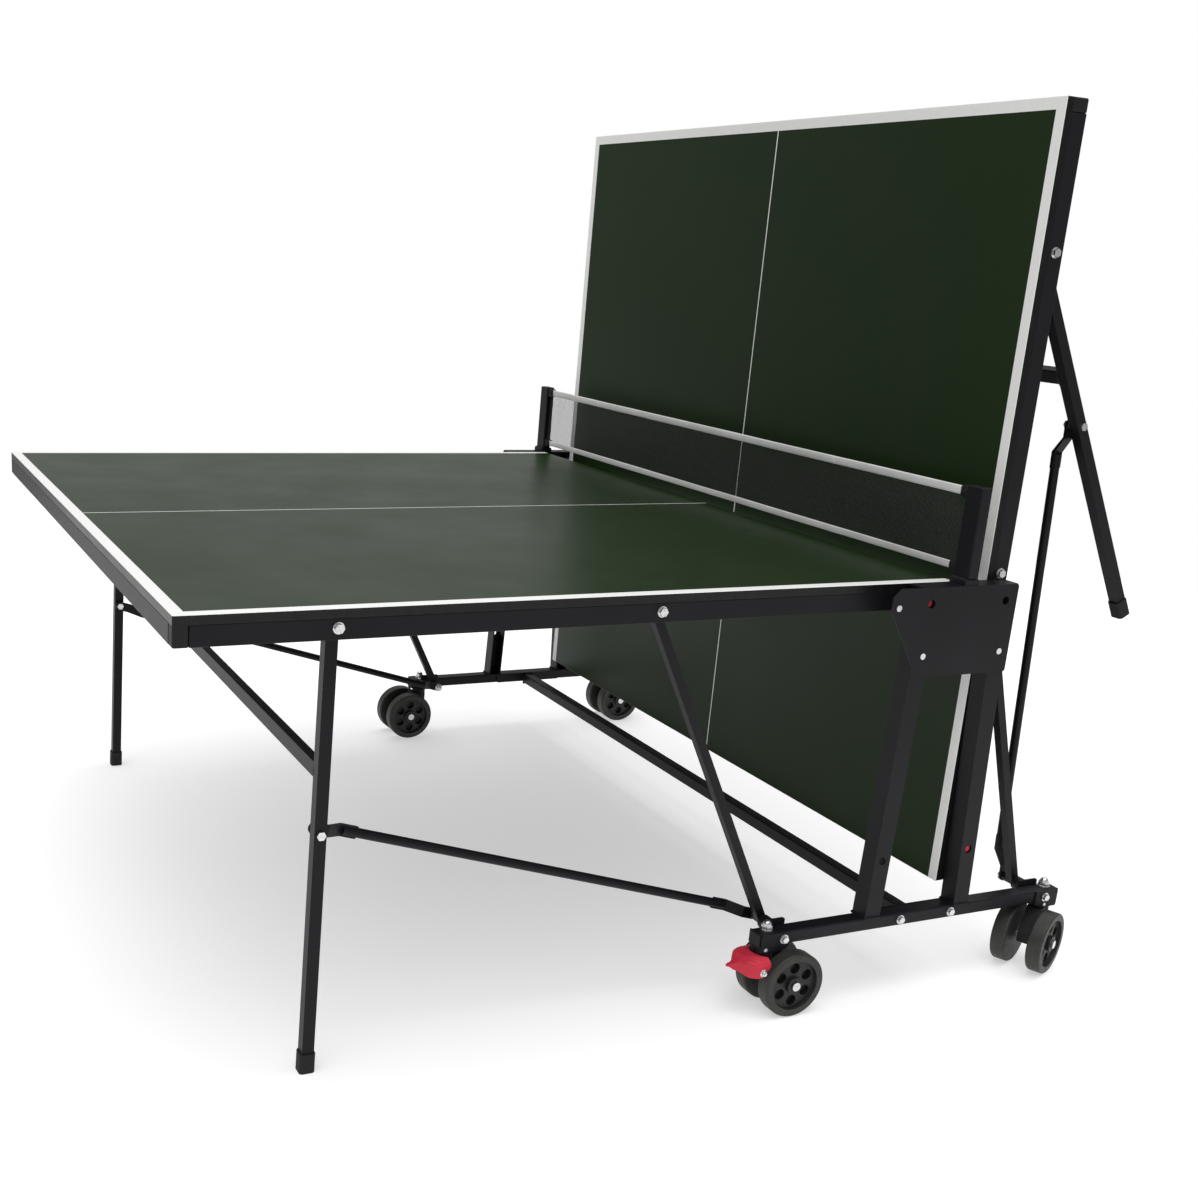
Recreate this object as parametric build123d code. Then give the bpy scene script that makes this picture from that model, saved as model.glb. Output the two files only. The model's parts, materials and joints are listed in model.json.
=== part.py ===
from build123d import *
import os
from math import atan2, cos, degrees, hypot, radians, sin, sqrt

os.makedirs("parts", exist_ok=True)

# Two-piece roll-away table for table tennis.  Millimetres, +Z up.  X runs along the length of play,
# the net stands across the middle at x = 0 while building, "near" is -Y and "far" is +Y.
# The -X half is down for play, the +X half is folded up against the net.
# s is the distance outward from the net, d the depth below a half's playing face.

# playing surface
TABLE_H = 760.0
HALF_L = 1370.0
TABLE_W = 1525.0
BOARD_T = 15.0
INNER_GAP = 5.0

# frame under each half
RAIL_W = 20.0
RAIL_H = 32.0
RAIL_WALL = 1.5
CORNER = 24.0
CROSS_S = (420.0, 860.0)
PIVOT_D = 29.0
PIVOT_Z = TABLE_H - PIVOT_D
Y_EDGE = TABLE_W / 2
Y_RAIL_IN = Y_EDGE - RAIL_W

# linkage: guide pivot P, strut pivot B, leg pivot A, rod pivot C, base pivot D, as (x, z)
P_DOWN = (82.0, PIVOT_Z)
B_DOWN = (590.0, PIVOT_Z)
A_DOWN = (1130.0, PIVOT_Z)
FOOT_DOWN = (1144.0, 0.0)
LEG_TO_ROD = 328.0
BASE_PIVOT_Z = 145.5
FOLD_FACE_X = 70.0
FOLD_BASE_Z = 180.0

# linkage sections: (outer y, inner y) of each layer, measured from the table's middle
PIVOT_BOLT_R = 4.0
RUN_FIT = 0.05
STRUT_W, STRUT_Y = 16.0, (741.0, 725.0)
LEG_W, LEG_Y = 20.0, (738.0, 718.0)
TUBE_WALL = 1.5
ROD_R = 8.0
ROD_EYE_Y = (711.5, 707.5)
ROD_JOG = 20.0
LEG_BAR_DROP = 231.0

# carriage
BASE_L = 686.0
BASE_Y = (800.0, 770.0)
BASE_Z = (128.0, 152.0)
PIVOT_LUG_TOP = 163.0
BASE_WALL = 2.0
BEAM_W = 25.0
BEAM_Z = (122.0, 147.0)
UPRIGHT_W = 34.0
UPRIGHT_TOP = 757.0
CHANNEL_T = 3.0
ROLLER_R = 13.4
PLATE_T = 3.0
HOLE_R = 7.5
BRACKET_DROP = 9.5

# net
POST_W = 20.0
POST_Y = (802.0, 764.0)
NET_TOP = 922.5
NET_BOTTOM = 779.0
TOP_TAPE_H = 15.0
BOTTOM_TAPE_H = 13.0

# casters: (kingpin x, y) and the direction in which each wheel trails, in degrees from +X
WHEEL_R = 60.0
WHEEL_W = 28.0
WHEEL_GAP = 40.0
TRAIL = 40.0
AXLE_R = 5.0
KINGPIN_R = 6.0
CASTERS = {
    "near_left": (-320.0, -782.5, 0.0),
    "near_right": (325.0, -782.5, 204.0),
    "far_left": (-320.0, 782.5, 180.0),
    "far_right": (325.0, 782.5, 180.0),
}
PEDAL_CASTERS = ("near_left", "far_right")
PEDAL_PIVOT = (-22.0, 88.0)
PEDAL_PIN_R = 4.0
PEDAL_HALF_W = 35.0
PEDAL_WALL = 4.0


# ---------------------------------------------------------------- linkage geometry
def folded(point):
    """Where a point of a half that is down for play goes when the half is folded up."""
    s, z = point
    return FOLD_FACE_X + TABLE_H - z, FOLD_BASE_Z + s


def along(start, end, distance):
    length = hypot(end[0] - start[0], end[1] - start[1])
    k = distance / length
    return start[0] + k * (end[0] - start[0]), start[1] + k * (end[1] - start[1])


def equidistant_x(p, q, z):
    """The x at height z whose distances to p and q are equal."""
    rise = (p[1] - z) ** 2 - (q[1] - z) ** 2
    return (p[0] ** 2 - q[0] ** 2 + rise) / (2 * (p[0] - q[0]))


def circle_meet(c1, r1, c2, r2):
    """The meeting point of two circles that lies farther out in +X."""
    gap = hypot(c2[0] - c1[0], c2[1] - c1[1])
    reach = (r1 ** 2 - r2 ** 2 + gap ** 2) / (2 * gap)
    height = sqrt(r1 ** 2 - reach ** 2)
    foot = along(c1, c2, reach)
    side = ((c2[1] - c1[1]) / gap * height, -(c2[0] - c1[0]) / gap * height)
    return max((foot[0] + side[0], foot[1] + side[1]), (foot[0] - side[0], foot[1] - side[1]))


P_UP, B_UP, A_UP = folded(P_DOWN), folded(B_DOWN), folded(A_DOWN)
D_BASE = (equidistant_x(B_DOWN, B_UP, BASE_PIVOT_Z), BASE_PIVOT_Z)
LEG_L = hypot(FOOT_DOWN[0] - A_DOWN[0], FOOT_DOWN[1] - A_DOWN[1])
LEG_LEAN = degrees(atan2(FOOT_DOWN[0] - A_DOWN[0], A_DOWN[1] - FOOT_DOWN[1]))
C_DOWN = along(A_DOWN, FOOT_DOWN, LEG_TO_ROD)
ROD_L = hypot(C_DOWN[0] - D_BASE[0], C_DOWN[1] - D_BASE[1])
C_UP = circle_meet(A_UP, LEG_TO_ROD, D_BASE, ROD_L)
FOOT_UP = along(A_UP, C_UP, LEG_L)
STATES = {
    "left": {"P": P_DOWN, "B": B_DOWN, "A": A_DOWN, "C": C_DOWN, "foot": FOOT_DOWN, "up": False},
    "right": {"P": P_UP, "B": B_UP, "A": A_UP, "C": C_UP, "foot": FOOT_UP, "up": True},
}
TRACK_LEAN = (P_UP[0] - P_DOWN[0]) / (P_DOWN[1] - P_UP[1])


# ---------------------------------------------------------------- building helpers
def block(x, y, z, radius=0.0):
    """A box from three (low, high) pairs, its long edges rounded when a radius is given."""
    shape = Pos(sum(x) / 2, sum(y) / 2, sum(z) / 2) * Box(x[1] - x[0], y[1] - y[0], z[1] - z[0])
    if radius:
        spans = {Axis.X: x[1] - x[0], Axis.Y: y[1] - y[0], Axis.Z: z[1] - z[0]}
        shape = fillet(shape.edges().filter_by(max(spans, key=spans.get)), radius)
    return shape


def pin(x, z, y, radius):
    """A round bar along Y between two y values."""
    return Pos(x, sum(y) / 2, z) * Rot(X=90) * Cylinder(radius, abs(y[1] - y[0]))


def upright_pin(x, y, z, radius):
    return Pos(x, y, sum(z) / 2) * Cylinder(radius, z[1] - z[0])


def hex_head(x, z, y, across=13.0):
    """A hexagonal bolt head along Y between two y values."""
    head = extrude(RegularPolygon(across / sqrt(3), 6), abs(y[1] - y[0]) / 2, both=True)
    return Pos(x, sum(y) / 2, z) * Rot(X=90) * head


def tube(x, y, z, wall, radius):
    """A rectangular tube, open at both ends of its longest direction."""
    spans = [x[1] - x[0], y[1] - y[0], z[1] - z[0]]
    run = spans.index(max(spans))
    inner = [(low - 1, high + 1) if i == run else (low + wall, high - wall)
             for i, (low, high) in enumerate((x, y, z))]
    return block(x, y, z, radius) - block(*inner)


def near_member(start, end):
    """Local frame of a bar on the near side: X along the bar, Z outward to -Y."""
    return Plane(origin=(start[0], 0, start[1]),
                 x_dir=(end[0] - start[0], 0, end[1] - start[1]), z_dir=(0, -1, 0))


def place(frame, shape):
    return frame.location * shape


def slot_bar(length, width, z, head=True):
    """A flat bar from the local origin along X, rounded at the origin and, if asked, at the end."""
    outline = Pos(length / 2, 0) * Rectangle(length, width) + Circle(width / 2)
    if head:
        outline += Pos(length, 0) * Circle(width / 2)
    return Pos(0, 0, min(z)) * extrude(outline, abs(z[1] - z[0]))


def drill(shape, at, z, radius):
    return shape - Pos(at, 0, sum(z) / 2) * Cylinder(radius, abs(z[1] - z[0]) + 2)


def near_and_far(shape):
    return [shape, mirror(shape, about=Plane.XZ)]


def half_turn(shape):
    return shape.rotate(Axis.Z, 180)


def fold_up(shape):
    """Carry a part of a half that is down for play to the folded position, on the +X side."""
    turned = shape.rotate(Axis((P_DOWN[0], 0, P_DOWN[1]), (0, 1, 0)), -90)
    return Pos(P_UP[0] - P_DOWN[0], 0, P_UP[1] - P_DOWN[1]) * turned


def set_half(shapes, side):
    """Put parts drawn on the +X side, down for play, where this half really is."""
    if side == "right":
        return [fold_up(shape) for shape in shapes]
    return [half_turn(shape) for shape in shapes]


def set_linkage(shapes, side):
    """Put linkage parts drawn on the +X side in their own state on the right side of the net."""
    return shapes if side == "right" else [half_turn(shape) for shape in shapes]


nodes = {}


def solids_of(shapes):
    return [solid for shape in shapes for solid in shape.solids()]


def add(name, *shapes):
    nodes[name] = solids_of(shapes)


# ---------------------------------------------------------------- the two halves
def board():
    top = block((INNER_GAP, HALF_L), (-Y_EDGE, Y_EDGE), (TABLE_H - BOARD_T, TABLE_H))
    top = fillet(top.edges().filter_by(Axis.Z), 3)
    return chamfer(top.faces().sort_by(Axis.Z)[-1].edges(), 0.8)


def side_rail():
    z = (TABLE_H - BOARD_T - RAIL_H, TABLE_H - BOARD_T)
    rail = tube((INNER_GAP + CORNER, HALF_L - CORNER), (-Y_EDGE, -Y_RAIL_IN), z, RAIL_WALL, 1.5)
    for x, _ in (P_DOWN, B_DOWN, A_DOWN):
        rail -= pin(x, PIVOT_Z, (-Y_EDGE - 2, -Y_RAIL_IN + 2), PIVOT_BOLT_R + RUN_FIT)
    return rail


def across_rail(s):
    z = (TABLE_H - BOARD_T - RAIL_H, TABLE_H - BOARD_T)
    return tube((s, s + RAIL_W), (-Y_EDGE + CORNER, Y_EDGE - CORNER), z, RAIL_WALL, 1.5)


def cross_rail(s):
    z = (TABLE_H - BOARD_T - RAIL_H + 6, TABLE_H - BOARD_T)
    return tube((s - 12, s + 12), (-Y_RAIL_IN, Y_RAIL_IN), z, RAIL_WALL, 1.5)


def corner_cap(s):
    z = (TABLE_H - BOARD_T - RAIL_H, TABLE_H - BOARD_T)
    cap = block((s, s + CORNER), (-Y_EDGE, -Y_EDGE + CORNER), z)
    cap = fillet(cap.edges().filter_by(Axis.Z), 4)
    return chamfer(cap.faces().sort_by(Axis.Z)[0].edges(), 1.5)


def frame_bolt(x):
    """The bolt on which a strut or leg swings: head outside the rail, nut inside the tube."""
    inner = (STRUT_Y if x == B_DOWN[0] else LEG_Y)[1]
    outer = (STRUT_Y if x == B_DOWN[0] else LEG_Y)[0]
    shank = pin(x, PIVOT_Z, (-Y_EDGE, -inner + 2), PIVOT_BOLT_R)
    head = hex_head(x, PIVOT_Z, (-Y_EDGE - 7, -Y_EDGE - 1.5))
    flange = pin(x, PIVOT_Z, (-Y_EDGE - 1.5, -Y_EDGE), 9)
    spacer = pin(x, PIVOT_Z, (-Y_RAIL_IN, -outer - 0.3), 8)
    nut = hex_head(x, PIVOT_Z, (-inner + 0.5, -inner + 6.5))
    return shank + head + flange + spacer + nut


for side in ("left", "right"):
    add(f"{side}_board", *set_half([board()], side))
    add(f"{side}_side_rails", *set_half(near_and_far(side_rail()), side))
    add(f"{side}_end_rails",
        *set_half([across_rail(INNER_GAP), across_rail(HALF_L - RAIL_W)], side))
    add(f"{side}_cross_rails", *set_half([cross_rail(s) for s in CROSS_S], side))
    caps = near_and_far(corner_cap(INNER_GAP)) + near_and_far(corner_cap(HALF_L - CORNER))
    add(f"{side}_corner_caps", *set_half(caps, side))
    bolts = near_and_far(frame_bolt(B_DOWN[0])) + near_and_far(frame_bolt(A_DOWN[0]))
    add(f"{side}_pivot_bolts", *set_half(bolts, side))


# ---------------------------------------------------------------- guide rollers and lock pins
def guide_roller():
    """Roller in the channel with its own pin, which turns in the half's side rail."""
    x, z = P_DOWN
    roller = pin(x, z, (-794.5, -768.5), ROLLER_R)
    roller = chamfer(roller.edges().filter_by(GeomType.CIRCLE), 1.5)
    collar = pin(x, z, (-768.5, -Y_EDGE - 0.6), 9)
    shank = pin(x, z, (-Y_EDGE - 0.6, -Y_RAIL_IN + 5), PIVOT_BOLT_R)
    nut = hex_head(x, z, (-Y_RAIL_IN + 0.5, -Y_RAIL_IN + 7))
    return roller + collar + shank + nut


def lock_pin():
    tip = pin(P_DOWN[0], P_DOWN[1], (-796.6, -794.5), HOLE_R - 1)
    return chamfer(tip.faces().sort_by(Axis.Y)[0].edges(), 0.8)


for side in ("left", "right"):
    add(f"{side}_guide_rollers", *set_half(near_and_far(guide_roller()), side))
    add(f"{side}_lock_pins", *set_half(near_and_far(lock_pin()), side))


# ---------------------------------------------------------------- struts, legs and tie rods
def strut(state):
    span = hypot(state["B"][0] - D_BASE[0], state["B"][1] - D_BASE[1])
    z = STRUT_Y
    body = slot_bar(span, STRUT_W, z)
    hollow = (z[0] - TUBE_WALL, z[1] + TUBE_WALL)
    body -= slot_bar(span, STRUT_W - 2 * TUBE_WALL, hollow)
    body += Pos(span, 0, (z[1] + ROD_EYE_Y[0] + 1) / 2) * Cylinder(8, z[1] - ROD_EYE_Y[0] - 1)
    body = drill(drill(body, 0, z, PIVOT_BOLT_R + RUN_FIT), span, (z[0], 700), PIVOT_BOLT_R + RUN_FIT)
    return place(near_member(state["B"], D_BASE), body)


def leg(state):
    z = LEG_Y
    hollow = (z[0] - TUBE_WALL, z[1] + TUBE_WALL)
    body = slot_bar(LEG_L - 4, LEG_W, z, head=False)
    body -= slot_bar(LEG_L, LEG_W - 2 * TUBE_WALL, hollow, head=False)
    body = drill(body, 0, z, PIVOT_BOLT_R + RUN_FIT)
    body = drill(body, LEG_TO_ROD, z, PIVOT_BOLT_R + 0.2)
    return place(near_member(state["A"], state["foot"]), body)


def foot(state):
    """Rubber shoe over the leg's end, its sole level when the half is down for play."""
    z = sum(LEG_Y) / 2
    shoe = Pos(LEG_L - 16, 0, z) * Box(34, LEG_W + 6, LEG_W + 6)
    shoe = fillet(shoe.edges().filter_by(Axis.X), 6)
    shoe -= Pos(LEG_L - 4 - 15, 0, z) * Box(30, LEG_W, LEG_W)
    floor = Pos(LEG_L, 0, z) * Rot(Z=-LEG_LEAN) * Pos(20, 0, 0) * Box(40, 60, 60)
    return place(near_member(state["A"], state["foot"]), shoe - floor)


def leg_bar(state):
    """Tube between the two legs."""
    y = LEG_Y[1]
    bar = tube((LEG_BAR_DROP - 13, LEG_BAR_DROP + 13), (-8, 8), (-y, y), TUBE_WALL, 2)
    return place(near_member(state["A"], state["foot"]), bar)


def rod_bolt(state):
    """Bolt fixed in the leg that carries the tie rod's eye."""
    outer, inner = LEG_Y[0], ROD_EYE_Y[1]
    x, z = state["C"]
    shank = pin(x, z, (-outer, -inner + 5), PIVOT_BOLT_R)
    head = hex_head(x, z, (-outer - 5.5, -outer))
    spacer = pin(x, z, (-LEG_Y[1], -ROD_EYE_Y[0] - 0.3), 7)
    nut = hex_head(x, z, (-inner + 0.5, -inner + 6))
    return shank + head + spacer + nut


def tie_rod(state):
    """Round rod whose flattened ends step outward to the leg and to the base pivot."""
    high, low = ROD_EYE_Y
    axis_y = low + 2 - ROD_JOG
    half = 10.0
    outline = [(0, high), (24, high), (52, axis_y + 3), (80, axis_y + 3),
               (80, axis_y - 3), (50, axis_y - 3), (22, low), (0, low)]
    flat = extrude(Plane.XZ * Polygon(*outline, align=None), half, both=True)
    eye = Pos(0, 0, low) * extrude(Circle(half), high - low)
    end = drill(flat + eye, 0, ROD_EYE_Y, PIVOT_BOLT_R + RUN_FIT)
    other = Pos(ROD_L, 0, 0) * mirror(end, about=Plane.YZ)
    shaft = Pos(ROD_L / 2, 0, axis_y) * Rot(Y=90) * Cylinder(ROD_R, ROD_L - 110)
    return place(near_member(state["C"], D_BASE), end + other + shaft)


for side, state in STATES.items():
    add(f"{side}_struts", *set_linkage(near_and_far(strut(state)), side))
    add(f"{side}_legs", *set_linkage(near_and_far(leg(state)), side))
    add(f"{side}_leg_bar", *set_linkage([leg_bar(state)], side))
    add(f"{side}_feet", *set_linkage(near_and_far(foot(state)), side))
    add(f"{side}_rod_bolts", *set_linkage(near_and_far(rod_bolt(state)), side))
    add(f"{side}_tie_rods", *set_linkage(near_and_far(tie_rod(state)), side))


# ---------------------------------------------------------------- carriage
def base_rail():
    rail = tube((-BASE_L / 2, BASE_L / 2), (-BASE_Y[0], -BASE_Y[1]), BASE_Z, BASE_WALL, 3)
    for x, y, _ in CASTERS.values():
        if y < 0:
            rail -= upright_pin(x, y, (BASE_Z[0] - 1, BASE_Z[1] + 1), KINGPIN_R + 0.1)
    return rail


def rail_cap():
    """Plastic plug in the end of a base rail."""
    lip = block((BASE_L / 2, BASE_L / 2 + 4), (-BASE_Y[0], -BASE_Y[1]), BASE_Z)
    lip = chamfer(lip.faces().sort_by(Axis.X)[-1].edges(), 1.5)
    y = (-BASE_Y[0] + BASE_WALL + 0.1, -BASE_Y[1] - BASE_WALL - 0.1)
    z = (BASE_Z[0] + BASE_WALL + 0.1, BASE_Z[1] - BASE_WALL - 0.1)
    return lip + block((BASE_L / 2 - 10, BASE_L / 2), y, z)


def guide_upright():
    """Channel open towards the table, leaning along the guide track, with two lock holes."""
    half = UPRIGHT_W / 2
    low_x = P_UP[0] + (P_UP[1] - BASE_Z[1]) * TRACK_LEAN
    high_x = P_DOWN[0] - (UPRIGHT_TOP - P_DOWN[1]) * TRACK_LEAN

    def slab(inset, y):
        corners = [(low_x - half + inset, BASE_Z[1]), (low_x + half - inset, BASE_Z[1]),
                   (high_x + half - inset, UPRIGHT_TOP), (high_x - half + inset, UPRIGHT_TOP)]
        face = Plane.XZ * Polygon(*corners, align=None)
        return Pos(0, -y[0], 0) * extrude(face, y[1] - y[0])

    channel = slab(0, (766, 800)) - slab(CHANNEL_T, (765, 800 - CHANNEL_T))
    for x, z in (P_DOWN, P_UP):
        channel -= pin(x, z, (-802, -790), HOLE_R)
    return channel


def side_plate():
    """Plate that ties the two uprights together, flared on one side, turned in at the top."""
    outline = [(107, 602), (107, 760), (-150, 760), (-166, 744), (-166, 722), (-104, 622), (-104, 602)]
    plate = extrude(Plane.XZ * Polygon(*outline, align=None), PLATE_T)
    plate = Pos(0, -800, 0) * fillet(plate.edges().filter_by(Axis.Y), 5)
    for side in (-1, 1):
        plate -= pin(side * P_DOWN[0], P_DOWN[1], (-806, -798), HOLE_R)
    ledge = block((-104, 107), (-800, -766), (UPRIGHT_TOP, UPRIGHT_TOP + PLATE_T))
    return plate + ledge


def cross_beam():
    return tube((-BEAM_W / 2, BEAM_W / 2), (-BASE_Y[1] + 3, BASE_Y[1] - 3), BEAM_Z, BASE_WALL, 3)


def beam_bracket():
    plate = block((-95, 95), (-BASE_Y[1], -BASE_Y[1] + 3), (BASE_Z[0], BASE_Z[1]))
    return fillet(plate.edges().filter_by(Axis.Y), 6)


def pivot_bracket(x):
    """Lug on the base rail with the stub of the shared strut and rod pivot."""
    z = BASE_PIVOT_Z
    lug = block((x - 24, x + 24), (-BASE_Y[1], -BASE_Y[1] + 3), (BASE_Z[0], PIVOT_LUG_TOP))
    lug = fillet(lug.edges().filter_by(Axis.Y), 5)
    return lug + pin(x, z, (-BASE_Y[1] + 3, -STRUT_Y[0] - 1), 13)


def caster_bracket(x):
    """Angle under and outside the base rail that takes the kingpin, with a tab below the rail."""
    low, high = max(x - 36, -BASE_L / 2), min(x + 36, BASE_L / 2)
    tab = max(x - 22, low + 1), min(x + 22, high - 1)
    outline = [(low, BASE_Z[0] - PLATE_T), (tab[0], BASE_Z[0] - BRACKET_DROP),
               (tab[1], BASE_Z[0] - BRACKET_DROP), (high, BASE_Z[0] - PLATE_T),
               (high, BASE_Z[1]), (low, BASE_Z[1])]
    outer = Pos(0, -BASE_Y[0], 0) * extrude(Plane.XZ * Polygon(*outline, align=None), PLATE_T)
    outer = fillet(outer.edges().filter_by(Axis.Y), 3)
    under = block((low, high), (-BASE_Y[0], -BASE_Y[1]), (BASE_Z[0] - PLATE_T, BASE_Z[0]))
    under -= upright_pin(x, CASTERS["near_left"][1], (BASE_Z[0] - 5, BASE_Z[0] + 1), KINGPIN_R + 0.1)
    return outer + under


def base_bolt(x, proud=0.0):
    """Bolt head on the outside of the base rail, or proud of it on a bracket."""
    z = (BASE_Z[0] + BASE_Z[1]) / 2
    y = -BASE_Y[0] - proud
    return hex_head(x, z, (y - 6.5, y - 1.5), 11) + pin(x, z, (y - 1.5, y), 8.5)


def plate_rivet(x, z, radius=5.5):
    return pin(x, z, (-BASE_Y[0] - PLATE_T - 1.5, -BASE_Y[0] - PLATE_T), radius)


def kingpin(x, y):
    shank = upright_pin(x, y, (100, BASE_Z[1]), KINGPIN_R)
    washer = upright_pin(x, y, (BASE_Z[1], BASE_Z[1] + 2), 12)
    nut = Pos(x, y, BASE_Z[1] + 2) * extrude(RegularPolygon(10, 6), 8)
    dome = Pos(x, y, BASE_Z[1] + 10) * Sphere(8)
    return shank + washer + nut + dome


BOLT_X = (-37.0, 80.0)
BRACKET_BOLT_X = (-296.0, 311.0)
PLATE_RIVETS = ((-152.0, 727.0), (-85.0, 640.0), (85.0, 640.0))
BRACKET_RIVETS = [(CASTERS[name][0] - 13, BASE_Z[0] - 4) for name in ("near_left", "near_right")]
near_uprights = [guide_upright(), mirror(guide_upright(), about=Plane.YZ)]
add("near_base_rail", base_rail())
add("far_base_rail", mirror(base_rail(), about=Plane.XZ))
caps = near_and_far(rail_cap())
add("base_rail_caps", *caps, *[mirror(cap, about=Plane.YZ) for cap in caps])
add("near_uprights", *near_uprights)
add("far_uprights", *[half_turn(upright) for upright in near_uprights])
add("near_side_plate", side_plate())
add("far_side_plate", half_turn(side_plate()))
add("cross_beam", cross_beam())
add("beam_brackets", beam_bracket(), half_turn(beam_bracket()))
lugs = near_and_far(pivot_bracket(D_BASE[0]))
add("pivot_brackets", *lugs, *[mirror(lug, about=Plane.YZ) for lug in lugs])
near_fasteners = [base_bolt(x) for x in BOLT_X] + [base_bolt(x, PLATE_T) for x in BRACKET_BOLT_X]
near_fasteners += [plate_rivet(x, z, 3.5) for x, z in BRACKET_RIVETS]
far_fasteners = [mirror(bolt, about=Plane.XZ) for bolt in near_fasteners]
plate_rivets = [plate_rivet(x, z) for x, z in PLATE_RIVETS]
far_fasteners += [half_turn(rivet) for rivet in plate_rivets]
near_fasteners += plate_rivets
add("frame_fasteners", *near_fasteners, *far_fasteners)
brackets = near_and_far(caster_bracket(CASTERS["near_left"][0]))
brackets += near_and_far(caster_bracket(CASTERS["near_right"][0]))
add("caster_brackets", *brackets)
add("kingpins", *[kingpin(x, y) for x, y, _ in CASTERS.values()])


# ---------------------------------------------------------------- net
def net_post():
    """Post on the side plate's ledge, with a wider foot."""
    y = (-POST_Y[0], -POST_Y[1])
    floor = UPRIGHT_TOP + PLATE_T
    post = block((-POST_W / 2, POST_W / 2), y, (floor + 12, NET_TOP + 5), 3)
    post = chamfer(post.faces().sort_by(Axis.Z)[-1].edges(), 1.5)
    base = block((-POST_W / 2 - 5, POST_W / 2 + 5), y, (floor, floor + 12))
    return post + chamfer(base.faces().sort_by(Axis.Z)[-1].edges(), 3)


def net_strip(thickness, z):
    return block((-thickness / 2, thickness / 2), (-POST_Y[1], POST_Y[1]), z)


add("near_net_post", net_post())
add("far_net_post", half_turn(net_post()))
add("net_mesh", net_strip(1.2, (NET_BOTTOM + BOTTOM_TAPE_H, NET_TOP - TOP_TAPE_H)))
add("net_top_tape", net_strip(4, (NET_TOP - TOP_TAPE_H, NET_TOP)))
add("net_bottom_tape", net_strip(3, (NET_BOTTOM, NET_BOTTOM + BOTTOM_TAPE_H)))


# ---------------------------------------------------------------- casters
# Each caster is drawn with its kingpin at the origin and its wheels trailing along +X.
def caster_fork(has_pedal):
    """Body between the twin wheels, carried by the kingpin, with a lug for the brake pedal."""
    half = 14.0
    arm = [(-12, 116), (-12, 72), (TRAIL - 12, 46), (TRAIL + 12, 46), (TRAIL + 16, 66), (24, 116)]
    body = extrude(Plane.XZ * Polygon(*arm, align=None), half, both=True)
    body = fillet(body.edges().filter_by(Axis.Y), 5)
    body += upright_pin(0, 0, (102, 124.6), 16.5)
    if has_pedal:
        px, pz = PEDAL_PIVOT
        body += pin(px, pz, (-half, half), 8) + block((px, 0), (-half, half), (pz - 8, pz + 8))
        body -= pin(px, pz, (-half - 1, half + 1), PEDAL_PIN_R + RUN_FIT)
    body -= upright_pin(0, 0, (98, 126), KINGPIN_R + RUN_FIT)
    return body - pin(TRAIL, WHEEL_R, (-half - 1, half + 1), AXLE_R + 0.1)


def caster_axle():
    reach = WHEEL_GAP / 2 + WHEEL_W
    axle = pin(TRAIL, WHEEL_R, (-reach - 1, reach + 1), AXLE_R)
    caps = [pin(TRAIL, WHEEL_R, y, 8) for y in ((-reach - 4, -reach - 1), (reach + 1, reach + 4))]
    return axle + caps[0] + caps[1]


def caster_wheel(low):
    """One wheel of the pair, dished and pocketed on its outer face."""
    y = (low, low + WHEEL_W)
    outer = y[0] if low < 0 else y[1]
    into = 1 if low < 0 else -1
    wheel = pin(TRAIL, WHEEL_R, y, WHEEL_R)
    wheel = fillet(wheel.edges().filter_by(GeomType.CIRCLE), 4)
    dish = pin(TRAIL, WHEEL_R, (outer - into, outer + 7 * into), WHEEL_R - 14)
    hub = pin(TRAIL, WHEEL_R, (outer, outer + 7 * into), 15)
    wheel -= dish - hub
    for k in range(6):
        a = radians(60 * k + 30)
        x, z = TRAIL + 30.5 * cos(a), WHEEL_R + 30.5 * sin(a)
        wheel -= pin(x, z, (outer + 6 * into, outer + 17 * into), 10)
    return wheel - pin(TRAIL, WHEEL_R, (low - 1, low + WHEEL_W + 1), AXLE_R + RUN_FIT)


def mirrored_outline(half):
    """A closed outline from the points of its +Y side, given from back to front."""
    return half + [(x, -y) for x, y in reversed(half)]


def hood_solid(plan, side):
    """What a plan outline and a side outline have in common."""
    from_above = Pos(0, 0, 50) * extrude(Polygon(*mirrored_outline(plan), align=None), 80)
    from_the_side = extrude(Plane.XZ * Polygon(*side, align=None), 2 * PEDAL_HALF_W, both=True)
    return from_above & from_the_side


def brake_pedal():
    """Foot lever: a hood in front of both wheels with a pointed toe, on a bolt through the fork's lug."""
    px, pz = PEDAL_PIVOT
    w, wall = PEDAL_HALF_W, PEDAL_WALL
    plan = [(-6, w), (-28, w), (-44, w - 7), (-55, w - 19), (-60, 8), (-74, 2.5)]
    side = [(-6, 114), (-24, 114), (-45, 110), (-57, 101), (-65, 97.5), (-76, 98),
            (-76, 94.5), (-60, 86), (-44, 78), (-24, 78), (-6, 84)]
    inner_plan = [(0, w - wall), (-27, w - wall), (-41, w - 10), (-51, w - 21), (-55, 5), (-58, 2)]
    inner_side = [(0, 109), (-24, 109), (-43, 105.5), (-53, 97), (-58, 92), (-58, 60), (0, 60)]
    pedal = hood_solid(plan, side) - hood_solid(inner_plan, inner_side)
    for sign in (-1, 1):
        pedal += pin(px, pz, (sign * 14.6, sign * (w + 1)), 7)
        pedal += hex_head(px, pz, (sign * (w + 1), sign * (w + 5)), 10)
    pedal += pin(px, pz, (-w, w), PEDAL_PIN_R)
    for sign in (-1, 1):
        pedal -= pin(TRAIL, WHEEL_R, (sign * 19, sign * (WHEEL_GAP / 2 + WHEEL_W + 2)), WHEEL_R + 2.5)
    return pedal - upright_pin(0, 0, (60, 130), 26)


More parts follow.
